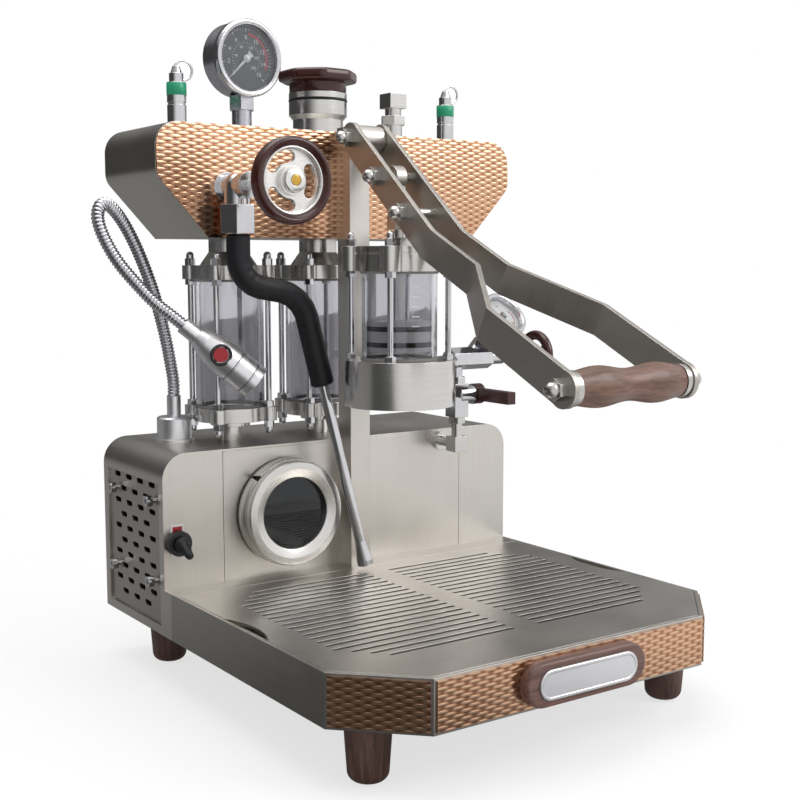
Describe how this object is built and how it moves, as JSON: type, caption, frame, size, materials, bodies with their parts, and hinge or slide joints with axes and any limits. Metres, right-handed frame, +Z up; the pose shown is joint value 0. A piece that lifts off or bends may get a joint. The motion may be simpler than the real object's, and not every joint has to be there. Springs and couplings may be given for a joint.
{
  "type": "lever espresso machine",
  "caption": "Lever espresso machine with a glass piston group on a post, glass columns, a woven copper tank, steam wand, gauges and a drip tray.",
  "frame": {"origin": "middle of the machine's bounding box, on the table", "axes": "+Z up, the front and the lever's handle face -Y, +X to the right seen from the front"},
  "size_m": [0.4228, 0.4852, 0.5565],
  "materials": {
    "stainless": "brushed",
    "lever_steel": "dark brushed",
    "chrome": "polished",
    "cast_aluminium": "polished",
    "lamp_silver": "satin",
    "heater_sheath": "satin",
    "copper_weave": "embossed copper",
    "walnut": "satin lacquer",
    "bakelite": "moulded",
    "black_rubber": "matte",
    "black_plastic": "moulded",
    "red_plastic": "moulded",
    "white_plastic": "machined",
    "glass": "clear",
    "needle_white": "painted",
    "needle_black": "painted"
  },
  "bodies": {
    "machine": {"chassis": "stainless", "base_housing": "stainless", "front_panel": "stainless", "vent_plates": "stainless", "tray_body": "stainless", "drip_grate": "stainless", "boiler_vessel": "stainless", "porthole_clamp": "stainless", "porthole_ring": "stainless", "column_flanges": "stainless", "post": "stainless", "tank_shell": "stainless", "group_cap": "stainless", "group_ring": "stainless", "shower_screen": "stainless", "filler_neck": "stainless", "vent_screws": "chrome", "tie_rods": "chrome", "safety_valves": "chrome", "vent_fitting": "chrome", "gauge_cases": "chrome", "steam_valve_body": "chrome", "supply_pipe": "chrome", "ball_valve_body": "chrome", "cross_fitting": "chrome", "lamp_base": "lamp_silver", "heating_element": "heater_sheath", "tray_cladding": "copper_weave", "tank_cladding": "copper_weave", "badge_plaque": "walnut", "feet": "walnut", "flange_seals": "black_rubber", "mains_inlet": "black_plastic", "toggle_body": "black_plastic", "porthole_glass": "glass", "column_glasses": "glass", "group_cylinder": "glass", "gauge_glasses": "glass"},
    "toggle": {"toggle_boot": "black_rubber"},
    "lamp": {"gooseneck": "lamp_silver", "lamp_head": "lamp_silver"},
    "rocker": {"lamp_rocker": "red_plastic"},
    "safety_left": {"safety_pull_left": "chrome"},
    "safety_right": {"safety_pull_right": "chrome"},
    "filler": {"filler_cap": "bakelite"},
    "gauge_hand": {"gauge_needle": "needle_white"},
    "group_gauge_hand": {"group_gauge_needle": "needle_black"},
    "steam_wheel": {"steam_spindle": "cast_aluminium", "steam_wheel_rim": "bakelite"},
    "wand": {"wand_tube": "chrome", "wand_sleeve": "black_rubber"},
    "piston": {"piston": "white_plastic", "piston_seals": "black_rubber", "piston_rod": "stainless"},
    "link": {"lever_link": "lever_steel"},
    "lever": {"lever_arms": "lever_steel", "lever_bolts": "chrome"},
    "handle": {"handle_grip": "walnut"},
    "ball_handle": {"ball_valve_handle": "bakelite"},
    "water_wheel": {"water_wheel": "bakelite"}
  },
  "joints": [
    {"name": "lever_raise", "type": "hinge", "parent": "machine", "child": "lever", "pos_m": [0.00895, 0.08364, 0.456], "axis": [-1, 0, 0], "range_deg": [0, 45]},
    {"name": "piston_lift", "type": "slide", "parent": "machine", "child": "piston", "axis": [0, 0, 1], "range_m": [0, 0.0394]},
    {"name": "link_swing", "type": "hinge", "parent": "piston", "child": "link", "pos_m": [0.00895, 0.03464, 0.38754], "axis": [1, 0, 0], "range_deg": [0, 20.3]},
    {"name": "handle_spin", "type": "hinge", "parent": "lever", "child": "handle", "pos_m": [0.00895, -0.22864, 0.27158], "axis": [1, 0, 0], "continuous": true},
    {"name": "steam_valve_turn", "type": "hinge", "parent": "machine", "child": "steam_wheel", "pos_m": [-0.11005, 0.00664, 0.413], "axis": [0, -1, 0], "range_deg": [0, 360]},
    {"name": "wand_swing", "type": "hinge", "parent": "machine", "child": "wand", "pos_m": [-0.11005, 0.09264, 0.38], "axis": [0, 0, -1], "range_deg": [0, 90]},
    {"name": "ball_valve_turn", "type": "hinge", "parent": "machine", "child": "ball_handle", "pos_m": [0.12895, 0.08964, 0.23], "axis": [1, 0, 0], "range_deg": [0, 90]},
    {"name": "water_valve_turn", "type": "hinge", "parent": "machine", "child": "water_wheel", "pos_m": [0.20695, 0.08964, 0.2635], "axis": [1, 0, 0], "range_deg": [0, 360]},
    {"name": "filler_cap_turn", "type": "hinge", "parent": "machine", "child": "filler", "pos_m": [0.00895, 0.16264, 0.502], "axis": [0, 0, 1], "range_deg": [0, 360]},
    {"name": "toggle_flip", "type": "hinge", "parent": "machine", "child": "toggle", "pos_m": [-0.15905, 0.10464, 0.122], "axis": [-1, 0, 0], "range_deg": [0, 50]},
    {"name": "lamp_swivel", "type": "hinge", "parent": "machine", "child": "lamp", "pos_m": [-0.12805, 0.18264, 0.23], "axis": [0, 0, -1], "range_deg": [0, 60]},
    {"name": "lamp_switch", "type": "hinge", "parent": "lamp", "child": "rocker", "pos_m": [-0.12366, 0.10018, 0.27659], "axis": [0.605, -0.2151, 0.7666], "range_deg": [0, 12]},
    {"name": "tank_gauge_sweep", "type": "hinge", "parent": "machine", "child": "gauge_hand", "pos_m": [-0.06683, 0.14869, 0.525], "axis": [-0.0872, 0.9962, 0], "range_deg": [0, 270]},
    {"name": "group_gauge_sweep", "type": "hinge", "parent": "machine", "child": "group_gauge_hand", "pos_m": [0.15895, 0.07664, 0.305], "axis": [-0.133, 0.7544, -0.6428], "range_deg": [0, 270]},
    {"name": "safety_lift_left", "type": "slide", "parent": "machine", "child": "safety_left", "axis": [0, 0, 1], "range_m": [0, 0.003], "stiffness_N_per_m": 1000},
    {"name": "safety_lift_right", "type": "slide", "parent": "machine", "child": "safety_right", "axis": [0, 0, 1], "range_m": [0, 0.003], "stiffness_N_per_m": 1000}
  ],
  "couplings": [
    {"joint": "piston_lift", "follows": "lever_raise", "m_per_rad": 0.05003},
    {"joint": "link_swing", "follows": "lever_raise", "ratio": 0.449}
  ]
}
